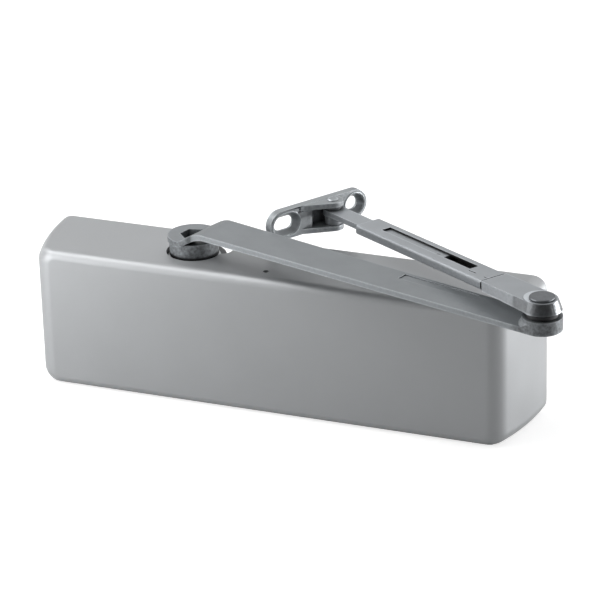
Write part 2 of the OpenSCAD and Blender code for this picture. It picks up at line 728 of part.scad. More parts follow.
module forearm_rod() color(arm_paint)
    difference() {
        union() {
            on_slope() translate([rod_start, 0, fore_mid]) rotate([90, 0, 90])
                linear_extrude(rod_head_l)
                    square([tube_w - 2 * tube_wall - 4 * fit, rod_t], center = true);
            on_slope() translate([rod_start, -rod_w / 2, fore_mid - rod_t / 2])
                cube([fore_l - rod_start, rod_w, rod_t]);
            at_shoe() translate([0, 0, shoe_mid + shoe_drop - rod_t / 2 - 0.3])
                cylinder(h = rod_t + 0.6, r = eye_r);
            at_shoe() translate([0, 0, shoe_mid - ear_gap / 2 + face_gap])
                cylinder(h = ear_gap - 2 * face_gap, r = eye_r - 1);
        }
        at_shoe() translate([0, 0, shoe_mid - ear_gap])
            cylinder(h = 2 * ear_gap, d = shoe_pin_d + 2 * fit);
        on_slope() translate([lock_x, 0, fore_mid - tube_h]) cylinder(h = 2 * tube_h, r = lock_r + fit);
    }
lock_washer_t = 1;
module lock_screw() color(steel)
    on_slope() translate([lock_x, 0, fore_mid - tube_h / 2 - lock_washer_t - 0.1]) difference() {
        union() {
            translate([0, 0, -2.6]) cylinder(h = 2.6, r = lock_r * 2);
            cylinder(h = tube_wall + rod_t + lock_washer_t, r = lock_r);
        }
        translate([0, 0, -2.6 - past]) hex(3, 1.8 + past);
    }
module lock_washer() color(steel)
    on_slope() translate([lock_x, 0, fore_mid - tube_h / 2 - lock_washer_t - 0.05])
        ring_z(0, lock_washer_t, lock_r * 2.3, lock_r + fit);

// ---- Shoe: plate with two countersunk lugs, and two ears that hold the pin ----
module lug_row(y0, y1, d) {
    translate([0, y0]) circle(d = d);
    translate([0, y1]) circle(d = d);
    translate([-d / 2, min(y0, y1)]) square([d, abs(y1 - y0)]);
}
module ear() {
    run = sqrt(shoe_setback * shoe_setback + ear_run * ear_run);
    swing = atan2(ear_run, shoe_setback) + acos(ear_r / run);
    circle(r = ear_r);
    polygon([[shoe_setback + past, ear_run], [shoe_setback, ear_run],
        [ear_r * cos(swing), ear_r * sin(swing)], [0, -ear_r], [shoe_setback + past, -ear_r]]);
}
// Stands an outline drawn as height by width up at distance x from the pin
module plate_x(x, t) translate([x, 0, shoe_mid]) rotate([0, 90, 0]) linear_extrude(t) children();
slot_half = (shoe_slot_l - shoe_hole_d) / 2;
csk_d = 13.6;
module countersink()
    translate([shoe_setback - 0.01, 0, shoe_mid]) rotate([0, 90, 0])
        cylinder(h = csk_depth, d1 = csk_d, d2 = shoe_hole_d);
module shoe() color(arm_paint)
    at_shoe() difference() {
        union() {
            plate_x(shoe_setback, shoe_t) lug_row(-shoe_hole_y, shoe_slot_y + slot_half, lug_d);
            for (s = [-1, 1]) translate([0, 0, shoe_mid + s * (ear_gap + ear_t) / 2 - ear_t / 2])
                linear_extrude(ear_t) ear();
        }
        // Pocket that lets the rod's eye turn close to the plate
        translate([shoe_setback - past, -pocket_y0, shoe_mid - ear_gap / 2])
            cube([eye_r + pocket_gap - shoe_setback + past, pocket_y0 + pocket_y, ear_gap]);
        translate([0, -shoe_hole_y, 0]) countersink();
        plate_x(shoe_setback - past, shoe_t + 2 * past) translate([0, -shoe_hole_y])
            circle(d = shoe_hole_d);
        plate_x(shoe_setback - past, shoe_t + 2 * past)
            lug_row(shoe_slot_y - slot_half, shoe_slot_y + slot_half, shoe_hole_d);
        for (s = [-1, 1]) translate([0, shoe_slot_y + s * slot_half, 0]) countersink();
        translate([shoe_setback - 0.01, shoe_slot_y, shoe_mid]) rotate([0, 90, 0]) intersection() {
            linear_extrude(csk_depth) square([csk_d, 2 * slot_half], center = true);
            rotate([90, 0, 0]) linear_extrude(2 * slot_half, center = true)
                polygon([[-csk_d / 2, 0], [csk_d / 2, 0],
                    [shoe_hole_d / 2, csk_depth], [-shoe_hole_d / 2, csk_depth]]);
        }
        translate([0, 0, shoe_mid - ear_gap]) cylinder(h = 2 * ear_gap, d = shoe_pin_d + 2 * fit);
    }
module shoe_pin() color(steel)
    at_shoe() {
        translate([0, 0, shoe_mid - ear_gap / 2 - ear_t])
            cylinder(h = ear_gap + 2 * ear_t + 0.1, d = shoe_pin_d);
        translate([0, 0, shoe_mid + ear_gap / 2 + ear_t + 0.1])
            cylinder(h = 0.7, d1 = shoe_pin_d + 2, d2 = shoe_pin_d + 0.8);
    }

cover();
cover_screws();
closer_body();
upper_bearing();
lower_bearing();
upper_thrust_washer();
lower_thrust_washer();
upper_seal();
lower_seal();
upper_gland_nut();
lower_gland_nut();
left_end_plug();
right_end_plug();
end_plug_orings();
adjuster_thrust_washer();
sweep_valve();
latch_valve();
backcheck_valve();
valve_orings();
spindle();
spindle_cap();
main_arm();
elbow_rivet();
elbow_spacer();
elbow_washer();
elbow_casting();
elbow_bush();
forearm_tube();
forearm_rod();
lock_screw();
lock_washer();
shoe();
shoe_pin();
piston();
check_valve_seat();
check_ball();
main_spring();
spring_seat();
adjusting_screw();
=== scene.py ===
"""Dresses a surface-mounted door closer: its cover, arms, shoe and mechanism."""

import json
import math

import bpy
from mathutils import Matrix, Vector


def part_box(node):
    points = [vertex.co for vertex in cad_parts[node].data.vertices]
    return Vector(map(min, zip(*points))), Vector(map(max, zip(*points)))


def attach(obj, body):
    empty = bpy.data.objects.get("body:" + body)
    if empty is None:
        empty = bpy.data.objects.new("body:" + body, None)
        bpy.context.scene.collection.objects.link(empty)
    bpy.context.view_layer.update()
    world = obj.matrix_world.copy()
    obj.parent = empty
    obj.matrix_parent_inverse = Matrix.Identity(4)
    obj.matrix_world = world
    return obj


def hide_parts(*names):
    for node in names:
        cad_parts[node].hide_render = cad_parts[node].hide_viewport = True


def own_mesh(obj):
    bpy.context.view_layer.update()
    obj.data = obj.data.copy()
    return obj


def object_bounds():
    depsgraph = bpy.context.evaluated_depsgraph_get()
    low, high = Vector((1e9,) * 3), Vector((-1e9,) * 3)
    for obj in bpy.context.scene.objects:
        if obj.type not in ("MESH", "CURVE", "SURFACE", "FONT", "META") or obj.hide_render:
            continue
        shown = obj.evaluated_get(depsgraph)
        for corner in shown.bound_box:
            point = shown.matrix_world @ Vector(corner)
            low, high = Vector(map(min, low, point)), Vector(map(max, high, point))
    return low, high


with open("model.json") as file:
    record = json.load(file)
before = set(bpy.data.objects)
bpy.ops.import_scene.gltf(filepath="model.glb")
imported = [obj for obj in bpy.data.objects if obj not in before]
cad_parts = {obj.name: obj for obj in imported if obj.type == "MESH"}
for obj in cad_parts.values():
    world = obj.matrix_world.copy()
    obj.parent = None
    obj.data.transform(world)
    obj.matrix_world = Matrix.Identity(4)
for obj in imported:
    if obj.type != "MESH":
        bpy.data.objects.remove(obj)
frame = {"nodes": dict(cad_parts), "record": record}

SOLID_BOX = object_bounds()

bl_info = {
    "name": "Door closer",
    "version": (1, 0, 0),
    "blender": (4, 5, 0),
    "location": "3D View > Sidebar > Door closer",
    "description": "Builds the looks of a surface-mounted door closer",
    "category": "Object",
}

MM = 0.001
RECORD = frame["record"]
COVER_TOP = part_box("cover")[1].z

# Points of a solid that lie closer than this are one point.
SAME_POINT = 0.002 * MM
# Faces that meet at less than this angle are one flat face.
SAME_FACE = math.radians(0.4)

# How far round a boss its thin, pitted paint and its painted shade reach, and how softly
# they end.
BOSS_REACH = 16.5 * MM
BOSS_FADE = 1.0 * MM
# The painted shade in the gap round the spindle's boss ends between these heights over the
# cover.
GAP_SHADE_FULL = 0.2 * MM
GAP_SHADE_END = 1.2 * MM
# Half the width of the painted shade line at the gap between the elbow and the tube.
JOINT_SHADE_HALF_WIDTH = 0.7 * MM

# Where each seam slit of the tube starts and ends, from the elbow's axis.
SEAM_SLITS = ((43.5 * MM, 48.0 * MM), (55.3 * MM, 61.9 * MM))
# How far the tube's top lies over its middle, and the height of the slits' cutter.
TUBE_TOP = 3.0 * MM
SLIT_HEIGHT = 1.2 * MM
# The draft spares what is this close to the elbow's axis, and fades out along the arm.
DRAFT_START = 10.0 * MM
DRAFT_FADE = 12.0 * MM

# How much rounder, or less round, these solids are than others that are made alike.
ROUNDER = {"elbow_casting": 1.8, "elbow_rivet": 1.5, "forearm_rod": 0.8, "shoe": 1.4}

# Solids whose paint isn't the finish that their material slot names.
PAINTS = {
    "forearm_tube": "fore_paint",
    "forearm_rod": "fore_paint",
    "elbow_casting": "fore_paint",
    "shoe": "shoe_paint",
    "shoe_pin": "shoe_paint",
}
FINISHES = {}

# How much finer a pattern is along X, Y and Z. Turning leaves rings round an axis.
EVEN = (1.0, 1.0, 1.0)
ROUND_X = (14.0, 1.0, 1.0)
ROUND_Z = (1.0, 1.0, 14.0)

# A colour mix's sockets by number, because its other kinds share their names.
FACTOR, FIRST, SECOND, MIXED = 0, 6, 7, 2

# The floor's width, and how far it lies under the object.
FLOOR_SIZE = 6.0
FLOOR_DROP = 0.0002

# Each lamp's name, place, aim, width and height in metres, and power in watts.
LAMPS = (
    ("left strip", (-0.37, -0.3, 0.0), (-0.14, -0.05, 0.0), (0.34, 0.4), 1.62),
    ("front softbox", (-0.4, -0.42, 0.45), (-0.15, -0.05, 0.0), (0.6, 0.6), 1.9),
    ("left key", (-0.75, -0.12, 0.8), (0.0, 0.0, 0.0), (0.6, 0.6), 4.3),
    ("high front key", (-0.45, -0.35, 1.1), (0.0, 0.0, 0.0), (0.5, 0.5), 2.2),
    ("left end softbox", (-0.9, 0.3, 0.12), (-0.17, 0.0, 0.0), (0.5, 0.5), 1.0),
    ("overhead softbox", (-0.1, 0.3, 1.3), (0.0, 0.0, 0.0), (2.0, 1.6), 4.8),
    ("high back softbox", (0.2, 1.2, 1.3), (0.0, 0.0, 0.0), (2.2, 1.2), 6.8),
    ("back softbox", (0.0, 1.6, 0.8), (0.0, 0.0, 0.0), (2.6, 1.2), 3.4),
    ("left back softbox", (-1.2, 1.1, 0.6), (0.0, 0.0, 0.0), (1.4, 1.0), 2.0),
    ("right back softbox", (1.1, 1.2, 0.6), (0.0, 0.0, 0.0), (1.6, 1.2), 3.0),
    ("right softbox", (0.9, 0.35, 0.05), (0.15, 0.0, 0.0), (0.6, 0.18), 8.6),
)


# ---- Sizes, finishes and studio that a user would change ----


class CloserSizes(bpy.types.PropertyGroup):
    rim_round: bpy.props.FloatProperty(
        name="Cover rim rounding",
        description="Rounding of the cover's cut edges",
        default=0.35 * MM,
        unit="LENGTH",
    )
    forged_round: bpy.props.FloatProperty(
        name="Forged edge rounding",
        description="Rounding of the arm's forged edges",
        default=0.7 * MM,
        unit="LENGTH",
    )
    cast_round: bpy.props.FloatProperty(
        name="Cast edge rounding",
        description="Rounding of cast edges on the body, elbow and shoe",
        default=0.6 * MM,
        unit="LENGTH",
    )
    turned_round: bpy.props.FloatProperty(
        name="Turned edge break",
        description="Edge break on turned and stamped pieces",
        default=0.2 * MM,
        unit="LENGTH",
    )
    seam_side: bpy.props.FloatProperty(
        name="Seam place",
        description="How far the tube's seam slits lie from its middle",
        default=3.6 * MM,
        unit="LENGTH",
    )
    seam_width: bpy.props.FloatProperty(
        name="Seam width",
        description="Width of the tube's seam slits",
        default=0.6 * MM,
        unit="LENGTH",
    )
    forearm_turn: bpy.props.FloatProperty(
        name="Forearm direction",
        description="Direction of the forearm at rest, from +X",
        default=math.radians(145.5),
        subtype="ANGLE",
    )
    forearm_slope: bpy.props.FloatProperty(
        name="Forearm slope",
        description="Slope of the forearm, down to the shoe",
        default=math.radians(3.0),
        subtype="ANGLE",
    )
    plate_face: bpy.props.FloatProperty(
        name="Plate face",
        description="Distance from the shoe's pin to the face of its plate",
        default=3.5 * MM,
        unit="LENGTH",
    )
    round_hole_y: bpy.props.FloatProperty(
        name="Round hole",
        description="Distance from the shoe's pin to its round hole",
        default=18.6 * MM,
        unit="LENGTH",
    )
    slotted_hole_y: bpy.props.FloatProperty(
        name="Slotted hole",
        description="Distance from the shoe's pin to its slotted hole",
        default=31.8 * MM,
        unit="LENGTH",
    )
    slot_stretch: bpy.props.FloatProperty(
        name="Slot stretch",
        description="How much longer the slotted hole is than wide",
        default=5.2 * MM,
        unit="LENGTH",
    )
    rim_radius: bpy.props.FloatProperty(
        name="Rim radius",
        description="Radius of the raised rim round each screw hole",
        default=7.5 * MM,
        unit="LENGTH",
    )
    rim_thickness: bpy.props.FloatProperty(
        name="Rim thickness",
        description="Thickness of that rim's bead",
        default=0.9 * MM,
        unit="LENGTH",
    )
    head_draft: bpy.props.FloatProperty(
        name="Head draft",
        description="How much narrower the elbow head is at its top than at its foot",
        default=2.3 * MM,
        unit="LENGTH",
    )
    joint_place: bpy.props.FloatProperty(
        name="Joint place",
        description="Distance from the elbow's axis to the gap before the tube",
        default=44.0 * MM,
        unit="LENGTH",
    )
    slot_reach: bpy.props.FloatProperty(
        name="Slot reach",
        description="How far the tube's slot reaches from its middle",
        default=4.4 * MM,
        unit="LENGTH",
    )
    tube_inside: bpy.props.FloatVectorProperty(
        name="Tube inside",
        description="Half the width and half the height of the tube's hollow",
        default=(7.65 * MM, 1.75 * MM),
        size=2,
        unit="LENGTH",
    )


class CloserFinishes(bpy.types.PropertyGroup):
    cover_paint: bpy.props.StringProperty(
        name="Cover paint",
        description="sRGB hex of the cover's paint",
        default="A6A8AA",
    )
    arm_paint: bpy.props.StringProperty(
        name="Arm paint",
        description="sRGB hex of the main arm's paint",
        default="868A8D",
    )
    fore_paint: bpy.props.StringProperty(
        name="Forearm paint",
        description="sRGB hex of the forearm's paint",
        default="A4A8AC",
    )
    shoe_paint: bpy.props.StringProperty(
        name="Shoe paint", description="sRGB hex of the shoe's paint", default="989C9F"
    )
    iron: bpy.props.StringProperty(
        name="Cast iron", description="sRGB hex of the body's iron", default="6D6F70"
    )
    paint_gloss: bpy.props.FloatProperty(
        name="Paint roughness",
        description="Roughness of the satin paint",
        default=0.47,
        min=0.05,
        max=1.0,
    )


class CloserStudio(bpy.types.PropertyGroup):
    lens: bpy.props.FloatProperty(
        name="Lens",
        description="Focal length in millimetres",
        default=190.14,
        unit="CAMERA",
    )
    camera_at: bpy.props.FloatVectorProperty(
        name="Camera place",
        description="Where the camera stands",
        default=(0.662, -1.6118, 0.7717),
        unit="LENGTH",
    )
    camera_turn: bpy.props.FloatVectorProperty(
        name="Camera turn",
        description="The camera's XYZ turn",
        default=tuple(math.radians(a) for a in (66.3082, 1.4837, 21.6497)),
        subtype="EULER",
    )


# ---- What the record says ----


def row_of(rows, key, value):
    """The row of one of the record's lists whose key is value."""
    for row in rows:
        if row[key] == value:
            return row
    raise RuntimeError("The record has no " + value)


def joint_row(name):
    return row_of(RECORD["behaviour"]["joints"], "name", name)


def joint_axis(name):
    """Where an upright joint's axis crosses the level plane, in metres."""
    return tuple(joint_row(name)["pos_m"][:2])


def joint_travel(name):
    """How far a sliding joint goes from rest, in metres."""
    return max(abs(value) for value in joint_row(name)["range_m"])


def slot_of(node):
    return row_of(RECORD["subparts"], "node", node)["material_slot"]


def body_of(node):
    for name, nodes in RECORD["behaviour"]["bodies"].items():
        if node in nodes:
            return name
    raise RuntimeError("No body holds " + node)


# ---- Colours and material nodes ----


def linear(hex_code):
    """sRGB hex to linear RGBA."""
    channels = [int(hex_code[i : i + 2], 16) / 255 for i in (0, 2, 4)]
    return [
        c / 12.92 if c <= 0.04045 else ((c + 0.055) / 1.055) ** 2.4 for c in channels
    ] + [1.0]


def shade(colour, factor):
    return [min(1.0, c * factor) for c in colour[:3]] + [1.0]


def grey(value):
    return (value, value, value, 1.0)


def add_node(owner, kind, settings=(), inputs=()):
    """Adds a node, makes its settings, and sets each input or links it to a socket.

    The setting named stops is for a colour ramp: two stops, each (place, colour)."""
    tree = owner.node_tree
    node = tree.nodes.new(kind)
    for key, value in dict(settings).items():
        if key == "stops":
            for stop, (at, colour) in zip(node.color_ramp.elements, value):
                stop.position = at
                stop.color = colour
        else:
            setattr(node, key, value)
    for key, value in dict(inputs).items():
        if isinstance(value, bpy.types.NodeSocket):
            tree.links.new(value, node.inputs[key])
        else:
            node.inputs[key].default_value = value
    return node


def blank_material(name):
    material = bpy.data.materials.new(name)
    material.use_nodes = True
    material.node_tree.nodes.clear()
    return material


def start_finish(name, hex_code):
    """A new material, the place on the object for its patterns, and its colour."""
    material = blank_material(name)
    place = add_node(material, "ShaderNodeTexCoord").outputs["Object"]
    return material, place, linear(hex_code)


def lumps_on(material, place, size_mm, detail, rough, finer=EVEN):
    """A pattern of lumps about size_mm across, or finer along X, Y and Z."""
    drawn = add_node(
        material, "ShaderNodeMapping", inputs={"Vector": place, "Scale": finer}
    )
    return add_node(
        material,
        "ShaderNodeTexNoise",
        inputs={
            "Vector": drawn.outputs["Vector"],
            "Scale": 1.0 / (size_mm * MM),
            "Detail": detail,
            "Roughness": rough,
        },
    ).outputs["Fac"]


def two_tones(material, pattern, span, first, second, most=1.0):
    """Goes from the first tone towards the second as a pattern passes through span."""
    share = add_node(
        material,
        "ShaderNodeValToRGB",
        {"stops": ((span[0], grey(0.0)), (span[1], grey(most)))},
        {"Fac": pattern},
    ).outputs["Color"]
    return add_node(
        material,
        "ShaderNodeMix",
        {"data_type": "RGBA"},
        {FACTOR: share, FIRST: first, SECOND: second},
    ).outputs[MIXED]


def painted_ao_light(material, colour, reach_mm, tone, span, outer):
    """Makes a colour tone times as bright in corners, as painted shade; with outer, on
    outer edges instead, as painted highlight.
    """
    openness = add_node(
        material,
        "ShaderNodeAmbientOcclusion",
        {"samples": 6, "inside": outer},
        {"Distance": reach_mm * MM},
    ).outputs["AO"]
    share = add_node(
        material,
        "ShaderNodeValToRGB",
        {"stops": ((span[0], grey(tone)), (span[1], grey(1.0)))},
        {"Fac": openness},
    ).outputs["Color"]
    return add_node(
        material,
        "ShaderNodeMix",
        {"data_type": "RGBA", "blend_type": "MULTIPLY"},
        {FACTOR: 1.0, FIRST: colour, SECOND: share},
    ).outputs[MIXED]


def painted_corner_shade(material, colour, reach_mm, dark):
    """Darkens a colour in gaps and corners: painted shade."""
    return painted_ao_light(material, colour, reach_mm, dark, (0.25, 0.82), outer=False)


def painted_edge_highlight(material, colour, reach_mm, bright):
    """Lightens a colour along outer edges: a painted highlight."""
    return painted_ao_light(material, colour, reach_mm, bright, (0.5, 0.86), outer=True)


def relief(material, *layers):
    """Raises the skin by layers of patterns, each (height, depth in mm)."""
    normal = {}
    for height, depth_mm in layers:
        bump = add_node(
            material,
            "ShaderNodeBump",
            inputs={
                "Height": height,
                "Distance": depth_mm * MM,
                "Strength": 1.0,
                **normal,
            },
        )
        normal = {"Normal": bump.outputs["Normal"]}
    return normal["Normal"]


def finish_surface(material, inputs):
    shader = add_node(material, "ShaderNodeBsdfPrincipled", inputs=inputs)
    add_node(
        material, "ShaderNodeOutputMaterial", inputs={"Surface": shader.outputs["BSDF"]}
    )
    return material


def flank_mask(material):
    """1 on faces that stand upright in the object's own frame, 0 on level ones."""
    normal = add_node(material, "ShaderNodeTexCoord").outputs["Normal"]
    split = add_node(material, "ShaderNodeSeparateXYZ", inputs={"Vector": normal})
    steep = add_node(
        material, "ShaderNodeMath", {"operation": "ABSOLUTE"}, {0: split.outputs["Z"]}
    )
    return add_node(
        material,
        "ShaderNodeMapRange",
        inputs={"Value": steep.outputs["Value"], "From Min": 0.75, "From Max": 0.35},
    ).outputs["Result"]


def boss_mask(material, place, axes):
    """1 on the bosses round the given upright axes, 0 further out."""
    mask = 0.0
    for x, y in axes:
        apart = add_node(
            material,
            "ShaderNodeVectorMath",
            {"operation": "SUBTRACT"},
            {0: place, 1: (x, y, 0.0)},
        ).outputs["Vector"]
        level = add_node(
            material,
            "ShaderNodeVectorMath",
            {"operation": "MULTIPLY"},
            {0: apart, 1: (1.0, 1.0, 0.0)},
        ).outputs["Vector"]
        length = add_node(
            material, "ShaderNodeVectorMath", {"operation": "LENGTH"}, {0: level}
        ).outputs["Value"]
        near = add_node(
            material,
            "ShaderNodeMapRange",
            inputs={
                "Value": length,
                "From Min": BOSS_REACH + BOSS_FADE,
                "From Max": BOSS_REACH - BOSS_FADE,
            },
        ).outputs["Result"]
        mask = add_node(
            material, "ShaderNodeMath", {"operation": "MAXIMUM"}, {0: mask, 1: near}
        ).outputs["Value"]
    return mask


def boss_gap_shade_mask(material, place, foot):
    """1 below the height foot, 0 a little over it: where painted shade darkens the gap
    round a boss.
    """
    split = add_node(material, "ShaderNodeSeparateXYZ", inputs={"Vector": place})
    return add_node(
        material,
        "ShaderNodeMapRange",
        inputs={
            "Value": split.outputs["Z"],
            "From Min": foot + GAP_SHADE_END,
            "From Max": foot + GAP_SHADE_FULL,
        },
    ).outputs["Result"]


def joint_shade_mask(material, place, joint, flank):
    """1 on the flanks close to a plane, given by a point in it and its direction: a
    painted shade line at a joint.
    """
    start, direction = joint
    apart = add_node(
        material,
        "ShaderNodeVectorMath",
        {"operation": "SUBTRACT"},
        {0: place, 1: start},
    ).outputs["Vector"]
    along = add_node(
        material,
        "ShaderNodeVectorMath",
        {"operation": "DOT_PRODUCT"},
        {0: apart, 1: direction},
    ).outputs["Value"]
    line = add_node(
        material,
        "ShaderNodeMath",
        {"operation": "COMPARE"},
        {0: along, 1: 0.0, 2: JOINT_SHADE_HALF_WIDTH},
    ).outputs["Value"]
    return add_node(
        material, "ShaderNodeMath", {"operation": "MULTIPLY"}, {0: line, 1: flank}
    ).outputs["Value"]


def satin_paint(name, hex_code, roughness, mottle):
    """Silver paint: sprayed aluminium flake in a satin lacquer.

    The flake gives a soft sheen and fine sparkle, and the spray a faint orange peel."""
    material, place, base = start_finish(name, hex_code)
    flake = lumps_on(material, place, 0.35, 2.0, 0.6)
    cloud = lumps_on(material, place, 28.0, 3.0, 0.55)
    peel = lumps_on(material, place, 1.6, 2.0, 0.5)
    dark, light = shade(base, 1.0 - mottle), shade(base, 1.0 + mottle)
    colour = two_tones(material, cloud, (0.3, 0.7), dark, light)
    colour = two_tones(material, flake, (0.35, 0.65), colour, shade(base, 1.25), 0.16)
    rough = add_node(
        material,
        "ShaderNodeMapRange",
        inputs={"Value": cloud, "To Min": roughness - 0.05, "To Max": roughness + 0.07},
    ).outputs["Result"]
    return finish_surface(
        material,
        {
            "Metallic": 0.55,
            "IOR": 1.5,
            "Coat Weight": 0.06,
            "Coat Roughness": 0.3,
            # Painted shade in the corners and gaps of the cover.
            "Base Color": painted_corner_shade(material, colour, 2.5, 0.3),
            "Roughness": rough,
            "Normal": relief(material, (peel, 0.014), (flake, 0.008)),
        },
    )


def rough_paint(
    name, hex_code, roughness, flank_shade_factor, axes, boss_shade_tones, boss_gloss, foot=None, joint=None
):
    """Silver-grey paint over a forged or cast skin.

    The level faces are sprayed full and lie smooth. The upright faces are made darker or
    lighter by a factor: painted shade and painted light by how they face. On the bosses
    round the axes the spray is thin, so scale pits show there as dark lumps, and the
    bosses' tones also darken them as painted shade. Below the height foot the boss is
    nearly black: painted shade in the gap round it. So is the gap at joint, which is a
    place along the forearm and its direction. Corners get painted shade and outer edges a
    painted highlight."""
    material, place, base = start_finish(name, hex_code)
    flank = flank_mask(material)
    boss = boss_mask(material, place, axes)
    lumps = lumps_on(material, place, 2.1, 4.0, 0.62)
    grit = lumps_on(material, place, 0.6, 3.0, 0.65)
    cloud = lumps_on(material, place, 18.0, 3.0, 0.6)

    dark, light = shade(base, 0.95), shade(base, 1.05)
    level = two_tones(material, cloud, (0.35, 0.7), dark, light)
    level = two_tones(material, grit, (0.35, 0.65), level, shade(base, 1.2), 0.14)
    shaded_flank, pitted_boss_shade = (
        two_tones(material, lumps, (0.34, 0.66), shade(base, low), shade(base, high))
        for low, high in ((flank_shade_factor * 0.9, flank_shade_factor * 1.06), boss_shade_tones)
    )
    upright = add_node(
        material,
        "ShaderNodeMix",
        {"data_type": "RGBA"},
        {FACTOR: boss, FIRST: shaded_flank, SECOND: pitted_boss_shade},
    ).outputs[MIXED]
    # Painted shade: flanks and bosses darker or lighter by how they face, nearly black at
    # the gaps.
    shade_layers = [(flank, upright)]
    if foot is not None:
        shade_layers.append((boss_gap_shade_mask(material, place, foot), shade(base, 0.08)))
    if joint is not None:
        shade_layers.append((joint_shade_mask(material, place, joint, flank), shade(base, 0.05)))
    colour = level
    for mask, tone in shade_layers:
        colour = add_node(
            material,
            "ShaderNodeMix",
            {"data_type": "RGBA"},
            {FACTOR: mask, FIRST: colour, SECOND: tone},
        ).outputs[MIXED]

    worn = add_node(
        material, "ShaderNodeMath", {"operation": "MULTIPLY"}, {0: boss, 1: flank}
    ).outputs["Value"]
    pits = add_node(
        material, "ShaderNodeMath", {"operation": "MULTIPLY"}, {0: lumps, 1: worn}
    ).outputs["Value"]
    rough = add_node(
        material,
        "ShaderNodeMapRange",
        inputs={"Value": worn, "To Min": roughness, "To Max": boss_gloss},
    ).outputs["Result"]
    # Painted shade in corners and gaps.
    colour = painted_corner_shade(material, colour, 4.0, 0.12)
    return finish_surface(
        material,
        {
            "Metallic": 0.5,
            "IOR": 1.5,
            # Painted highlight along the outer edges.
            "Base Color": painted_edge_highlight(material, colour, 1.2, 1.6),
            "Roughness": rough,
            "Normal": relief(material, (cloud, 0.1), (pits, 0.25), (grit, 0.012)),
        },
    )


def sand_cast(name, hex_code):
    """Grey iron, sand cast and lightly oiled: a dull grainy skin, darker in patches."""
    material, place, base = start_finish(name, hex_code)
    grain = lumps_on(material, place, 1.1, 4.0, 0.7)
    cloud = lumps_on(material, place, 22.0, 3.0, 0.6)
    dark, light = shade(base, 0.72), shade(base, 1.18)
    colour = two_tones(material, grain, (0.3, 0.7), dark, light)
    colour = two_tones(material, cloud, (0.4, 0.8), colour, shade(base, 0.6), 0.35)
    return finish_surface(
        material,
        {
            "Metallic": 0.75,
            "Roughness": 0.58,
            "Base Color": colour,
            "Normal": relief(material, (grain, 0.14)),
        },
    )


def machined_metal(name, hex_code, roughness, groove_mm, rings):
    """Turned, ground or plated metal: fine tool lines drawn coarse enough to show."""
    material, place, base = start_finish(name, hex_code)
    grooves = lumps_on(material, place, groove_mm, 3.0, 0.6, rings)
    smudge = lumps_on(material, place, 9.0, 3.0, 0.6)
    dark, light = shade(base, 0.86), shade(base, 1.08)
    rough = add_node(
        material,
        "ShaderNodeMapRange",
        inputs={"Value": smudge, "To Min": roughness - 0.06, "To Max": roughness + 0.1},
    ).outputs["Result"]
    return finish_surface(
        material,
        {
            "Metallic": 1.0,
            "Base Color": two_tones(material, grooves, (0.3, 0.7), dark, light),
            "Roughness": rough,
            "Normal": relief(material, (grooves, 0.012)),
        },
    )


def moulded(name, hex_code, roughness, grain_mm, depth_mm):
    """Moulded rubber or nylon, or a near-black painted shade: a dull skin with a fine matt
    grain.
    """
    material, place, base = start_finish(name, hex_code)
    grain = lumps_on(material, place, grain_mm, 3.0, 0.6)
    dark, light = shade(base, 0.8), shade(base, 1.3)
    return finish_surface(
        material,
        {
            "Metallic": 0.0,
            "Roughness": roughness,
            "IOR": 1.5,
            "Base Color": two_tones(material, grain, (0.3, 0.7), dark, light),
            "Normal": relief(material, (grain, depth_mm)),
        },
    )


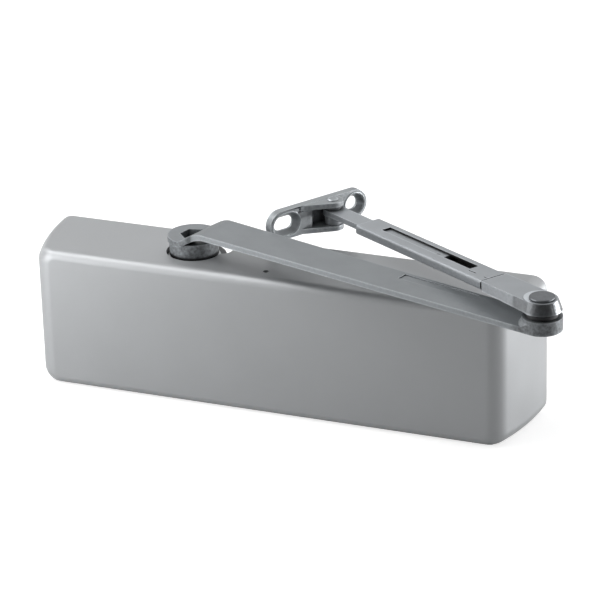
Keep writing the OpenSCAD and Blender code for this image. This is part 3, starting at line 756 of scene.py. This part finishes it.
def make_finishes(finishes, sizes):
    forearm = slope_place(sizes)
    FINISHES.update(
        silver_paint=satin_paint(
            "Satin silver paint, sprayed",
            finishes.cover_paint,
            finishes.paint_gloss,
            mottle=0.02,
        ),
        # The flank factor, boss tones, foot and joint below are painted shade on flanks,
        # bosses and gaps.
        arm_paint=rough_paint(
            "Silver-grey paint on forged steel",
            finishes.arm_paint,
            roughness=0.4,
            flank_shade_factor=1.03,
            axes=[joint_axis("arm_swing"), joint_axis("elbow")],
            boss_shade_tones=(0.45, 1.0),
            boss_gloss=0.5,
            # Painted shade, nearly black, below the cover's top round the hub.
            foot=COVER_TOP,
        ),
        fore_paint=rough_paint(
            "Silver-grey paint on rolled and cast steel",
            finishes.fore_paint,
            roughness=0.38,
            flank_shade_factor=0.66,
            axes=[joint_axis("elbow")],
            boss_shade_tones=(0.3, 0.42),
            boss_gloss=0.3,
            # A painted shade line at the gap between the elbow and the tube.
            joint=(
                forearm @ Vector((sizes.joint_place, 0.0, 0.0)),
                forearm.col[0].to_3d(),
            ),
        ),
        shoe_paint=rough_paint(
            "Silver-grey paint on cast iron",
            finishes.shoe_paint,
            roughness=0.4,
            flank_shade_factor=1.0,
            axes=[joint_axis("shoe_pivot")],
            boss_shade_tones=(0.72, 1.08),
            boss_gloss=0.45,
        ),
        cast_iron=sand_cast("Grey iron, sand cast", finishes.iron),
    )
    # Each machined metal's key, name, colour, roughness, groove width in mm and rings.
    for key, *metal in (
        # The bearings, thrust washers and check ball are ground, and the brightest.
        ("bearing_steel", "Bearing steel, ground", "C2C3C5", 0.24, 1.2, ROUND_Z),
        # Zinc makes the nuts, plugs and screws bright and a little blue.
        ("zinc_steel", "Steel, bright zinc plated", "B4B7B9", 0.3, 1.4, ROUND_X),
        # Hardening leaves the spindle and piston a duller grey.
        ("hard_steel", "Steel, case hardened and ground", "97989A", 0.3, 1.3, ROUND_Z),
        # The oxide on the rivet and cover screws is a dark film that shows the turning.
        ("dark_steel", "Steel, black oxide", "74777A", 0.42, 1.6, ROUND_Z),
        # Tempering in oil leaves the wire nearly black, with a sheen.
        ("spring_steel", "Spring steel, oil tempered", "45474A", 0.38, 1.1, ROUND_X),
        # Pressed bronze powder is warm brown, with pores and no rings.
        ("bronze", "Bronze, sintered", "A8814C", 0.42, 1.0, EVEN),
    ):
        FINISHES[key] = machined_metal(*metal)
    # Each dull skin's key, name, colour, roughness, and grain's width and depth in mm.
    for key, *skin in (
        # Near-black painted shade for the tube's hollow and the walls of its slot.
        ("tube_shade_black", "Near-black painted shade inside the tube", "0B0B0C", 0.55, 1.5, 0.02),
        # The seals are the dullest.
        ("rubber", "Nitrile rubber, moulded", "1C1C1D", 0.62, 0.8, 0.02),
        # The spindle's cap and the elbow's spacer have a slight gloss.
        ("black_plastic", "Nylon, moulded", "262729", 0.5, 0.6, 0.015),
    ):
        FINISHES[key] = moulded(*skin)


# ---- Modelling steps ----


def deselect():
    if bpy.context.object and bpy.context.object.mode != "OBJECT":
        bpy.ops.object.mode_set(mode="OBJECT")
    bpy.ops.object.select_all(action="DESELECT")


def activate(piece):
    deselect()
    piece.select_set(True)
    bpy.context.view_layer.objects.active = piece


def edit_whole(piece, operator, **settings):
    """Runs an edit mode operator on the whole of a piece."""
    activate(piece)
    bpy.ops.object.mode_set(mode="EDIT")
    bpy.ops.mesh.select_all(action="SELECT")
    operator(**settings)
    bpy.ops.object.mode_set(mode="OBJECT")


def apply_modifier(piece, kind, **settings):
    activate(piece)
    modifier = piece.modifiers.new(kind.lower(), kind)
    for key, value in settings.items():
        setattr(modifier, key, value)
    bpy.ops.object.modifier_apply(modifier=modifier.name)


def smooth(piece, degrees=38.0):
    """Shades a piece smooth, apart from its edges sharper than an angle."""
    activate(piece)
    bpy.ops.object.shade_smooth_by_angle(angle=math.radians(degrees))


def settle(piece):
    """Puts the place into the mesh, so that the object sits at the origin."""
    activate(piece)
    bpy.ops.object.transform_apply(location=True, rotation=True, scale=True)


def put(piece, matrix):
    """Sets a piece in place, with the place kept in its mesh."""
    piece.matrix_world = matrix @ piece.matrix_world
    settle(piece)


def copy_solid(node, name):
    """A merged copy of a solid, with its flat faces whole again."""
    piece = bpy.data.objects.new(name, frame["nodes"][node].data.copy())
    bpy.context.scene.collection.objects.link(piece)
    edit_whole(piece, bpy.ops.mesh.remove_doubles, threshold=SAME_POINT)
    edit_whole(piece, bpy.ops.mesh.dissolve_limited, angle_limit=SAME_FACE)
    return piece


def round_edges(piece, width, segments=3, degrees=32.0, merge=False):
    """Rounds a piece's sharp edges. A merge then closes slits too thin to see."""
    apply_modifier(
        piece,
        "BEVEL",
        width=width,
        segments=segments,
        limit_method="ANGLE",
        angle_limit=math.radians(degrees),
        use_clamp_overlap=True,
        miter_outer="MITER_ARC",
    )
    if merge:
        edit_whole(piece, bpy.ops.mesh.remove_doubles, threshold=SAME_POINT)
    apply_modifier(piece, "WEIGHTED_NORMAL", keep_sharp=True, weight=60)


def cut_away(piece, cutter):
    apply_modifier(
        piece, "BOOLEAN", object=cutter, operation="DIFFERENCE", solver="EXACT"
    )
    bpy.data.objects.remove(cutter, do_unlink=True)


def slope_place(sizes):
    """The forearm's frame at rest: +X runs from the elbow along the sloping tube."""
    x, y = joint_axis("elbow")
    low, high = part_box("elbow_bush")
    return (
        Matrix.Translation((x, y, (low.z + high.z) / 2))
        @ Matrix.Rotation(sizes.forearm_turn, 4, "Z")
        @ Matrix.Rotation(sizes.forearm_slope, 4, "Y")
    )


def shoe_place():
    """The shoe's frame at rest: the pin's middle, with +X square into the plate."""
    x, y = joint_axis("shoe_pivot")
    low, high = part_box("shoe")
    into = Vector(row_of(RECORD["mounts"], "name", "shoe_back")["axis"])
    return Matrix.Translation((x, y, (low.z + high.z) / 2)) @ Matrix.Rotation(
        math.atan2(into.y, into.x), 4, "Z"
    )


def slit_cutter(near, far, sizes):
    """A thin block sunk into the tube's top, between two distances from the elbow."""
    deselect()
    bpy.ops.mesh.primitive_cube_add(size=1.0)
    cutter = bpy.context.object
    cutter.scale = (far - near, sizes.seam_width, SLIT_HEIGHT)
    settle(cutter)
    middle = Matrix.Translation(((near + far) / 2, sizes.seam_side, TUBE_TOP))
    put(cutter, slope_place(sizes) @ middle)
    return cutter


def draft_head(piece, sizes):
    """Draws the elbow's head in towards its top, as the draft of its mould does."""
    axis = Vector((*joint_axis("elbow"), 0.0))
    low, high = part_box("elbow_bush")
    along = slope_place(sizes).col[0].to_3d()
    for vertex in piece.data.vertices:
        out = vertex.co - axis
        out.z = 0.0
        if out.length > DRAFT_START:
            rise = min(1.0, max(0.0, (vertex.co.z - low.z) / (high.z - low.z)))
            near = min(1.0, max(0.0, 1.0 - out.dot(along) / DRAFT_FADE))
            vertex.co -= out.normalized() * sizes.head_draft * rise * near


def shade_tube_inside(tube, sizes):
    """Blackens the walls of the tube's slot and its hollow: painted shade."""
    tube.data.materials.append(FINISHES["tube_shade_black"])
    into = slope_place(sizes).inverted()
    half_width, half_height = sizes.tube_inside
    past_joint = sizes.joint_place + 2.0 * MM
    for face in tube.data.polygons:
        at = into @ face.center
        upright = abs(face.normal.z) < 0.5
        slot_wall = upright and abs(at.y) < sizes.slot_reach and at.x > past_joint
        hollow = abs(at.y) < half_width and abs(at.z) < half_height
        if slot_wall or hollow:
            face.material_index = 1


def ring_rim(name, radius, thickness, stretch):
    """A round bead in a ring that stands square to X, drawn out along Y by stretch."""
    deselect()
    bpy.ops.mesh.primitive_torus_add(
        major_radius=radius,
        minor_radius=thickness / 2,
        major_segments=64,
        minor_segments=12,
        rotation=(0.0, math.radians(90.0), 0.0),
    )
    rim = bpy.context.object
    rim.name = name
    bpy.ops.object.transform_apply(rotation=True)
    for vertex in rim.data.vertices:
        vertex.co.y += math.copysign(stretch / 2, vertex.co.y)
    activate(rim)
    bpy.ops.object.shade_smooth()
    return rim


def paint(piece, node):
    """Gives a piece the finish of a solid."""
    piece.data.materials.clear()
    piece.data.materials.append(FINISHES[PAINTS.get(node, slot_of(node))])


def place_piece(piece, node, replaces=True):
    """Paints a piece, and lets it ride with the solid that it dresses or sits on."""
    paint(piece, node)
    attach(piece, body_of(node))
    if replaces:
        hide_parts(node)


def dress(node, name, width, segments=3, degrees=32.0):
    """Stands a copy with rounded edges in for a solid."""
    piece = copy_solid(node, name)
    smooth(piece)
    round_edges(piece, width, segments, degrees)
    place_piece(piece, node)


# ---- Pieces ----


class CLOSER_OT_finishes(bpy.types.Operator):
    """Makes the finishes and gives each solid its own"""

    bl_idname = "closer.finishes"
    bl_label = "Finishes"

    def execute(self, context):
        make_finishes(context.scene.closer_finishes, context.scene.closer_sizes)
        for node, solid in frame["nodes"].items():
            paint(solid, node)
            smooth(solid, degrees=30.0)
        return {"FINISHED"}


class CLOSER_OT_cover(bpy.types.Operator):
    """Adds the pressed cover with its cut edges rounded"""

    bl_idname = "closer.cover"
    bl_label = "Cover"

    def execute(self, context):
        sizes = context.scene.closer_sizes
        dress("cover", "cover_shell", sizes.rim_round, segments=2, degrees=50.0)
        return {"FINISHED"}


class CLOSER_OT_main_arm(bpy.types.Operator):
    """Adds the forged main arm"""

    bl_idname = "closer.main_arm"
    bl_label = "Main arm"

    def execute(self, context):
        sizes = context.scene.closer_sizes
        dress("main_arm", "forged_arm", sizes.forged_round)
        return {"FINISHED"}


class CLOSER_OT_elbow(bpy.types.Operator):
    """Adds the elbow casting, rivet, spacer and washer"""

    bl_idname = "closer.elbow"
    bl_label = "Elbow"

    def execute(self, context):
        sizes = context.scene.closer_sizes
        knuckle = copy_solid("elbow_casting", "elbow_knuckle")
        draft_head(knuckle, sizes)
        smooth(knuckle)
        round_edges(knuckle, sizes.cast_round * ROUNDER["elbow_casting"], merge=True)
        place_piece(knuckle, "elbow_casting")
        rivet_round = sizes.turned_round * ROUNDER["elbow_rivet"]
        dress("elbow_rivet", "elbow_rivet_head", rivet_round)
        dress("elbow_spacer", "elbow_friction_ring", sizes.turned_round)
        dress("elbow_washer", "elbow_plain_washer", sizes.turned_round)
        return {"FINISHED"}


class CLOSER_OT_forearm(bpy.types.Operator):
    """Adds the slotted tube, the rod in it and the lock screw"""

    bl_idname = "closer.forearm"
    bl_label = "Forearm"

    def execute(self, context):
        sizes = context.scene.closer_sizes
        tube = copy_solid("forearm_tube", "rolled_tube")
        for near, far in SEAM_SLITS:
            cut_away(tube, slit_cutter(near, far, sizes))
        smooth(tube)
        round_edges(tube, sizes.turned_round)
        place_piece(tube, "forearm_tube")
        # Painted shade inside the tube and on its slot's walls.
        shade_tube_inside(tube, sizes)
        rod_round = sizes.cast_round * ROUNDER["forearm_rod"]
        dress("forearm_rod", "forged_rod", rod_round)
        dress("lock_screw", "lock_screw_head", sizes.turned_round)
        dress("lock_washer", "lock_plain_washer", sizes.turned_round)
        return {"FINISHED"}


class CLOSER_OT_shoe(bpy.types.Operator):
    """Adds the frame shoe and its pin"""

    bl_idname = "closer.shoe"
    bl_label = "Shoe"

    def execute(self, context):
        sizes = context.scene.closer_sizes
        dress("shoe", "cast_shoe", sizes.cast_round * ROUNDER["shoe"])
        dress("shoe_pin", "shoe_rivet", sizes.turned_round)
        where = shoe_place()
        for name, at, stretch in (
            ("round_hole_rim", -sizes.round_hole_y, 0.0),
            ("slotted_hole_rim", sizes.slotted_hole_y, sizes.slot_stretch),
        ):
            rim = ring_rim(name, sizes.rim_radius, sizes.rim_thickness, stretch)
            put(rim, where @ Matrix.Translation((sizes.plate_face, at, 0.0)))
            place_piece(rim, "shoe", replaces=False)
        return {"FINISHED"}


class CLOSER_OT_body(bpy.types.Operator):
    """Adds the cast body"""

    bl_idname = "closer.body"
    bl_label = "Body"

    def execute(self, context):
        sizes = context.scene.closer_sizes
        dress("closer_body", "cast_body", sizes.cast_round)
        return {"FINISHED"}


class CLOSER_OT_spring(bpy.types.Operator):
    """Adds the closing spring, cut in two lengths where the piston's and the seat's
    travels share it
    """

    bl_idname = "closer.spring"
    bl_label = "Closing spring"

    def execute(self, context):
        piston_travel = joint_travel("piston_slide")
        seat_travel = joint_travel("seat_slide")
        share = piston_travel / (piston_travel + seat_travel)
        low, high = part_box("main_spring")
        middle = low.x + share * (high.x - low.x)
        piston_side = piston_travel / (middle - low.x)
        seat_side = seat_travel / (high.x - middle)
        for name, joint, shortened, at_piston in (
            ("spring_piston_length", "arm_swing", piston_side, True),
            ("spring_seat_length", "power_adjuster", seat_side, False),
        ):
            spring = copy_solid("main_spring", name)
            edit_whole(
                spring,
                bpy.ops.mesh.bisect,
                plane_co=(middle, 0.0, 0.0),
                plane_no=(1.0, 0.0, 0.0),
                use_fill=True,
                clear_outer=at_piston,
                clear_inner=not at_piston,
            )
            smooth(spring, degrees=60.0)
            place_piece(spring, "main_spring", replaces=at_piston)
            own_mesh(spring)
        return {"FINISHED"}


class CLOSER_OT_fittings(bpy.types.Operator):
    """Adds the turned fittings with their edges broken"""

    bl_idname = "closer.fittings"
    bl_label = "Fittings"

    def execute(self, context):
        sizes = context.scene.closer_sizes
        for node in (
            "upper_gland_nut",
            "lower_gland_nut",
            "left_end_plug",
            "right_end_plug",
            "spindle_cap",
            "cover_screws",
            "sweep_valve",
            "latch_valve",
            "backcheck_valve",
            "check_ball",
        ):
            dress(node, node + "_turned", sizes.turned_round, segments=2)
        return {"FINISHED"}


# ---- Stage ----


def pale_floor():
    """Adds a floor that the camera sees as nearly white, and that keeps the shadow."""
    deselect()
    floor_z = SOLID_BOX[0][2] - FLOOR_DROP
    bpy.ops.mesh.primitive_plane_add(size=FLOOR_SIZE, location=(0.0, 0.0, floor_z))
    floor = bpy.context.object
    floor.name = "floor"
    bpy.ops.object.transform_apply(location=True)
    material = blank_material("Pale floor")
    path = add_node(material, "ShaderNodeLightPath")
    mirrored = add_node(
        material,
        "ShaderNodeMath",
        {"operation": "MULTIPLY"},
        {0: path.outputs["Is Glossy Ray"], 1: 0.25},
    ).outputs["Value"]
    seen = add_node(
        material,
        "ShaderNodeMath",
        {"operation": "MULTIPLY_ADD"},
        {0: path.outputs["Is Camera Ray"], 1: 0.72, 2: mirrored},
    ).outputs["Value"]
    glow = add_node(
        material, "ShaderNodeEmission", inputs={"Color": grey(1.0), "Strength": seen}
    )
    matt = add_node(material, "ShaderNodeBsdfDiffuse", inputs={"Color": grey(0.5)})
    both = add_node(
        material,
        "ShaderNodeAddShader",
        inputs={0: glow.outputs["Emission"], 1: matt.outputs["BSDF"]},
    )
    add_node(
        material, "ShaderNodeOutputMaterial", inputs={"Surface": both.outputs["Shader"]}
    )
    floor.data.materials.append(material)


def pale_world(scene):
    """A world that lights the object faintly and looks white to the camera."""
    world = bpy.data.worlds.new("Studio")
    scene.world = world
    world.use_nodes = True
    path = add_node(world, "ShaderNodeLightPath")
    strength = add_node(
        world,
        "ShaderNodeMapRange",
        inputs={"Value": path.outputs["Is Camera Ray"], "To Min": 0.03, "To Max": 1.0},
    )
    back = world.node_tree.nodes["Background"]
    back.inputs["Color"].default_value = grey(1.0)
    world.node_tree.links.new(strength.outputs["Result"], back.inputs["Strength"])


def add_lamp(name, place, aim, size, power):
    data = bpy.data.lights.new(name, "AREA")
    data.shape = "RECTANGLE"
    data.size, data.size_y = size
    data.energy = power
    lamp = bpy.data.objects.new(name, data)
    bpy.context.scene.collection.objects.link(lamp)
    lamp.location = place
    towards = Vector(aim) - Vector(place)
    lamp.rotation_euler = towards.to_track_quat("-Z", "Y").to_euler()


def add_camera(scene):
    studio = scene.closer_studio
    data = bpy.data.cameras.new("Camera")
    data.lens = studio.lens
    data.sensor_width = 36.0
    data.clip_start = 0.05
    data.clip_end = 20.0
    camera = bpy.data.objects.new("Camera", data)
    scene.collection.objects.link(camera)
    camera.location = studio.camera_at
    camera.rotation_euler = studio.camera_turn
    scene.camera = camera


class CLOSER_OT_stage(bpy.types.Operator):
    """Adds the floor, the lamps and the camera"""

    bl_idname = "closer.stage"
    bl_label = "Stage"

    def execute(self, context):
        pale_floor()
        pale_world(context.scene)
        for lamp in LAMPS:
            add_lamp(*lamp)
        add_camera(context.scene)
        context.scene.view_settings.view_transform = "Standard"
        return {"FINISHED"}


STEPS = (
    CLOSER_OT_finishes,
    CLOSER_OT_stage,
    CLOSER_OT_cover,
    CLOSER_OT_main_arm,
    CLOSER_OT_elbow,
    CLOSER_OT_forearm,
    CLOSER_OT_shoe,
    CLOSER_OT_body,
    CLOSER_OT_spring,
    CLOSER_OT_fittings,
)


class CLOSER_PT_panel(bpy.types.Panel):
    bl_idname = "CLOSER_PT_panel"
    bl_label = "Door closer"
    bl_space_type = "VIEW_3D"
    bl_region_type = "UI"
    bl_category = "Door closer"

    def draw(self, context):
        for step in STEPS:
            self.layout.operator(step.bl_idname)


GROUPS = {
    "closer_sizes": CloserSizes,
    "closer_finishes": CloserFinishes,
    "closer_studio": CloserStudio,
}
CLASSES = (*GROUPS.values(), *STEPS, CLOSER_PT_panel)


def register():
    for each in CLASSES:
        bpy.utils.register_class(each)
    for name, group in GROUPS.items():
        setattr(bpy.types.Scene, name, bpy.props.PointerProperty(type=group))


def unregister():
    for name in GROUPS:
        delattr(bpy.types.Scene, name)
    for each in reversed(CLASSES):
        bpy.utils.unregister_class(each)


def main():
    register()
    for step in STEPS:
        area, name = step.bl_idname.split(".")
        getattr(getattr(bpy.ops, area), name)()


if __name__ == "__main__":
    main()
